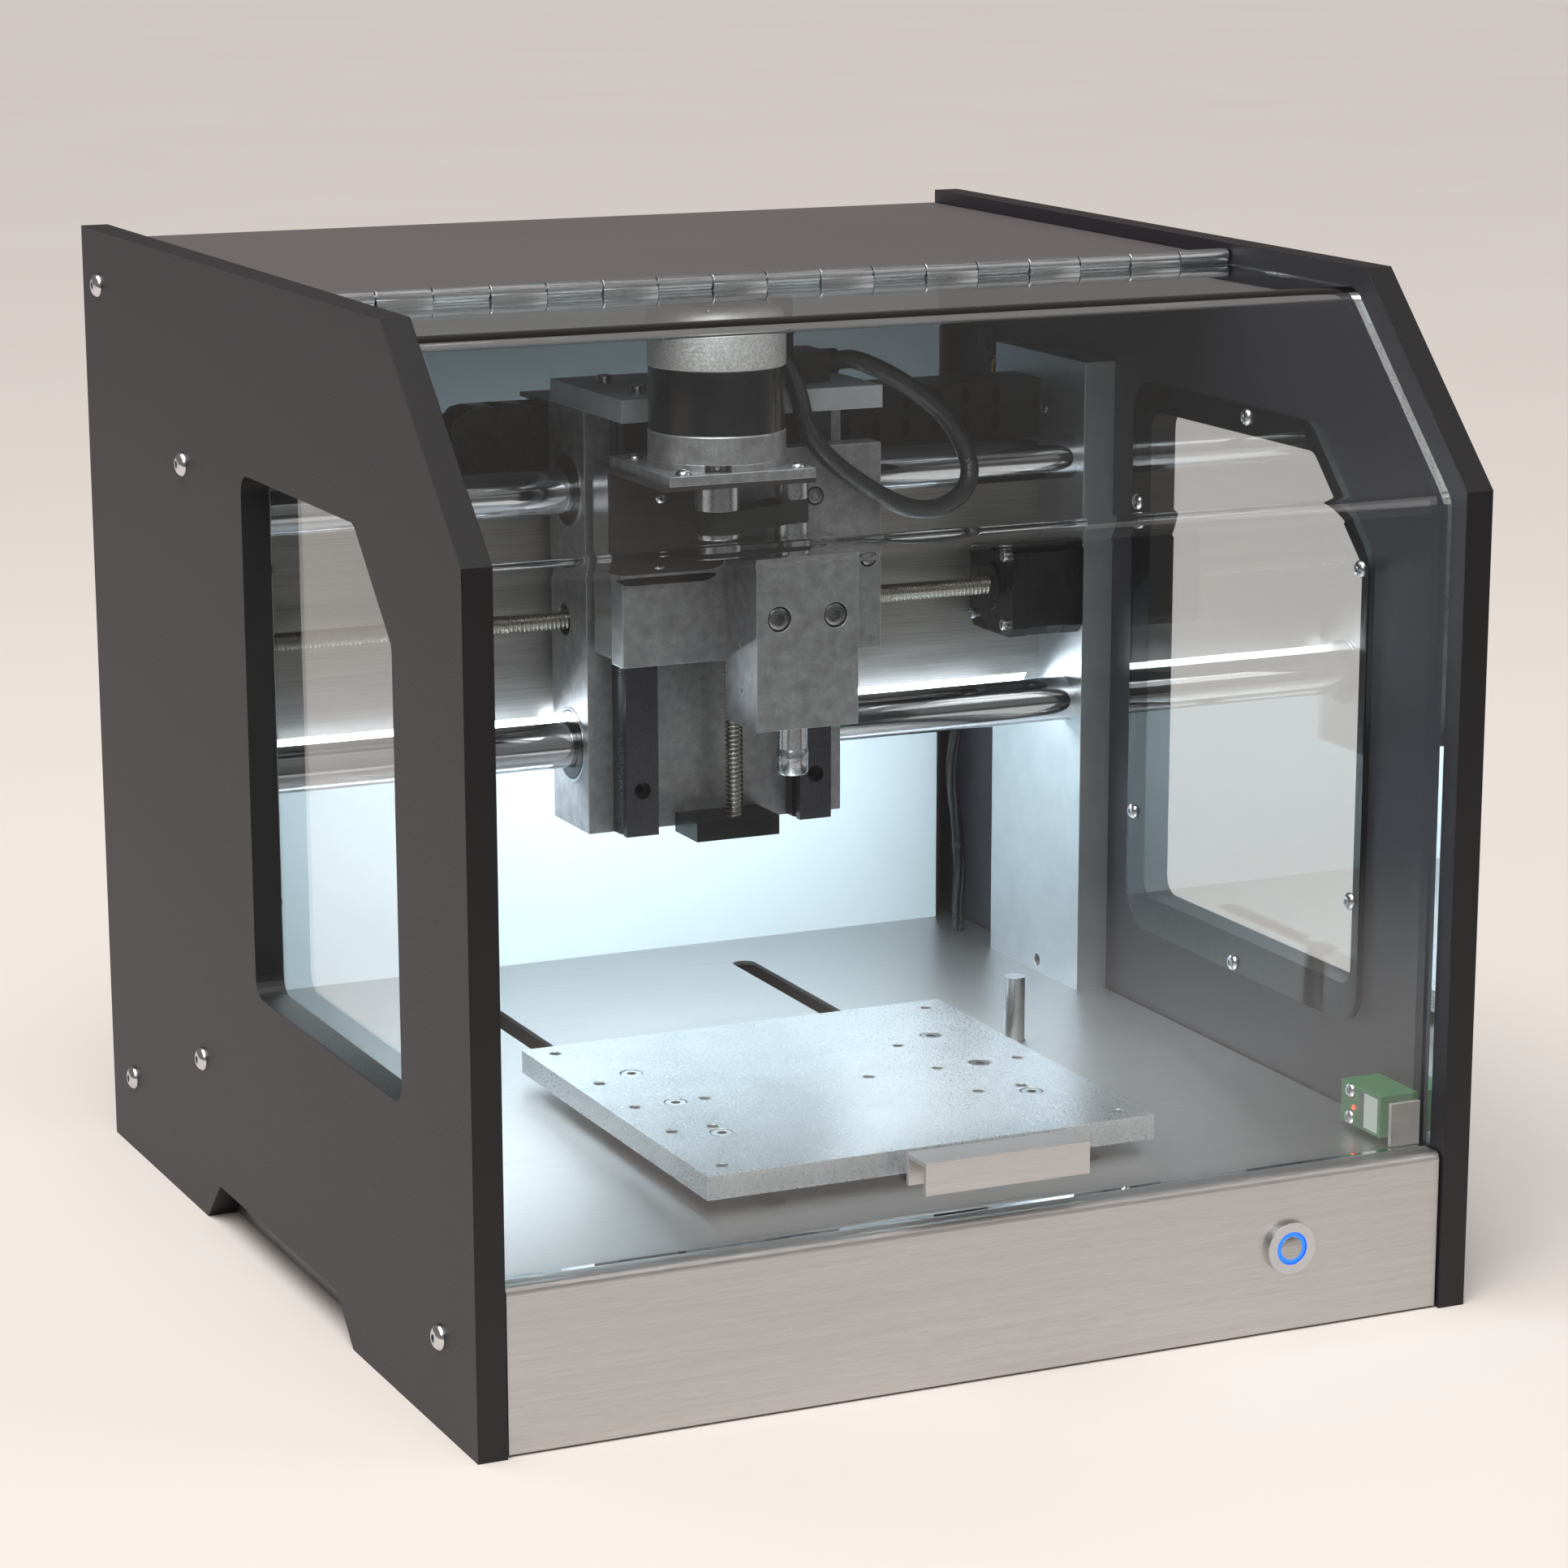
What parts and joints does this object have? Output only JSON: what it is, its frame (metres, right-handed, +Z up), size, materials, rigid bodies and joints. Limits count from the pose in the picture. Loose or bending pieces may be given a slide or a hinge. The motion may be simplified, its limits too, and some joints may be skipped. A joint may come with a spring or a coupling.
{
  "type": "cnc router",
  "caption": "Desktop enclosed router: moving table, belt-driven spindle on guide shafts, clear bent lid, windowed side panels and a brushed base pan.",
  "frame": {"origin": "centre of the whole machine on the floor, lid handle counted", "axes": "+X to the right seen from the front, +Y to the back, +Z up"},
  "size_m": [0.4386, 0.4774, 0.417],
  "materials": {
    "side_panel": "milled charcoal HDPE sheet",
    "dark_sheet": "matt dark grey sheet",
    "steel_pan": "brushed, long grain",
    "base_metal": "satin",
    "aluminium": "milled, satin",
    "cast_grey": "milled mill-finish block",
    "clear": "clear polycarbonate",
    "lit_panel": "white acrylic, lit",
    "shaft_steel": "ground and polished",
    "rail_steel": "dark ground steel",
    "thread_steel": "rolled thread",
    "black_metal": "satin black",
    "black_plastic": "moulded",
    "bright_steel": "turned",
    "bronze": "turned",
    "braid": "woven polyester sleeve",
    "belt_rubber": "moulded",
    "green_plastic": "moulded",
    "board": "solder mask",
    "black_screw": "black oxide"
  },
  "bodies": {
    "base_frame": {"left_side_panel": "side_panel", "right_side_panel": "side_panel", "top_panel": "dark_sheet", "rear_panel": "dark_sheet", "base_pan": "steel_pan", "base_plate": "base_metal", "corner_blocks": "aluminium", "panel_screws": "black_screw", "lit_back_panel": "lit_panel", "side_windows": "clear", "uprights": "aluminium", "cross_plate": "aluminium", "guide_shafts": "shaft_steel", "drive_steppers": "black_metal", "screw_bearings": "bright_steel", "y_rails": "rail_steel", "hinge_leaf": "aluminium", "button_bezel": "bright_steel", "door_sensor": "green_plastic", "probe_housing": "aluminium", "cable_duct": "black_plastic", "wiring_loom": "black_plastic", "control_board": "board", "power_supply": "base_metal", "power_inlet": "black_plastic"},
    "front_lid": {"lid": "clear", "lid_handle": "aluminium", "sensor_target": "bright_steel"},
    "x_carriage": {"carriage_block": "cast_grey", "carriage_roof": "aluminium", "linear_bearings": "bright_steel", "x_nut": "bronze", "z_rails": "rail_steel", "z_stepper": "black_metal", "z_screw_bracket": "black_metal", "chain_tray": "black_plastic", "cable_gland": "black_plastic", "braided_lead": "braid"},
    "z_slide": {"slide_plate": "cast_grey", "z_rail_trucks": "bright_steel", "z_nut": "bronze", "spindle_block": "cast_grey", "slide_screws": "bright_steel", "motor_bracket": "black_metal", "motor_plate": "cast_grey", "spindle_motor": "aluminium", "drive_belt": "belt_rubber"},
    "spindle": {"spindle_shaft": "bright_steel", "collet_nut": "bright_steel"},
    "motor_rotor": {"motor_pulley": "bright_steel"},
    "x_screw": {"x_leadscrew": "thread_steel"},
    "y_screw": {"y_leadscrew": "thread_steel"},
    "z_screw": {"z_leadscrew": "thread_steel"},
    "y_table": {"work_table": "aluminium", "table_screws": "bright_steel", "table_saddle": "aluminium", "y_rail_trucks": "bright_steel"},
    "start_button": {"power_button": "bright_steel"},
    "tool_probe": {"probe_plunger": "bright_steel"},
    "x_chain": {"drag_chain": "black_plastic"}
  },
  "joints": [
    {"name": "lid_hinge", "type": "hinge", "parent": "base_frame", "child": "front_lid", "pos_m": [0, -0.04075, 0.4115], "axis": [-1, 0, 0], "range_deg": [0, 175]},
    {"name": "x_slide", "type": "slide", "parent": "base_frame", "child": "x_carriage", "axis": [1, 0, 0], "range_m": [-0.125, 0.077]},
    {"name": "z_slide_travel", "type": "slide", "parent": "x_carriage", "child": "z_slide", "axis": [0, 0, 1], "range_m": [-0.071, 0.005], "deforming": ["braided_lead"]},
    {"name": "y_slide", "type": "slide", "parent": "base_frame", "child": "y_table", "axis": [0, 1, 0], "range_m": [-0.024, 0.172]},
    {"name": "spindle_spin", "type": "hinge", "parent": "z_slide", "child": "spindle", "pos_m": [0.0165, -0.003, 0.2195], "axis": [0, 0, 1], "continuous": true},
    {"name": "motor_spin", "type": "hinge", "parent": "z_slide", "child": "motor_rotor", "pos_m": [-0.024, -0.01785, 0.31], "axis": [0, 0, 1], "continuous": true},
    {"name": "x_screw_turn", "type": "hinge", "parent": "base_frame", "child": "x_screw", "pos_m": [0, 0.07925, 0.255], "axis": [1, 0, 0], "continuous": true},
    {"name": "y_screw_turn", "type": "hinge", "parent": "base_frame", "child": "y_screw", "pos_m": [0, 0, 0.0285], "axis": [0, 1, 0], "continuous": true},
    {"name": "z_screw_turn", "type": "hinge", "parent": "x_carriage", "child": "z_screw", "pos_m": [0.0075, 0.03775, 0.25], "axis": [0, 0, 1], "continuous": true},
    {"name": "chain_travel", "type": "slide", "parent": "base_frame", "child": "x_chain", "axis": [1, 0, 0], "range_m": [-0.0626, 0.0386]},
    {"name": "button_press", "type": "slide", "parent": "base_frame", "child": "start_button", "axis": [0, 1, 0], "range_m": [0, 0.002], "stiffness_N_per_m": 700, "springref_m": -0.003},
    {"name": "probe_press", "type": "slide", "parent": "base_frame", "child": "tool_probe", "axis": [0, 0, -1], "range_m": [0, 0.004], "stiffness_N_per_m": 500, "springref_m": -0.002}
  ],
  "couplings": [
    {"joint": "x_screw_turn", "follows": "x_slide", "rad_per_m": -1570.8},
    {"joint": "y_screw_turn", "follows": "y_slide", "rad_per_m": -1570.8},
    {"joint": "z_screw_turn", "follows": "z_slide_travel", "rad_per_m": -1570.8},
    {"joint": "chain_travel", "follows": "x_slide", "ratio": 0.5},
    {"joint": "motor_spin", "follows": "spindle_spin", "ratio": 0.78571}
  ]
}
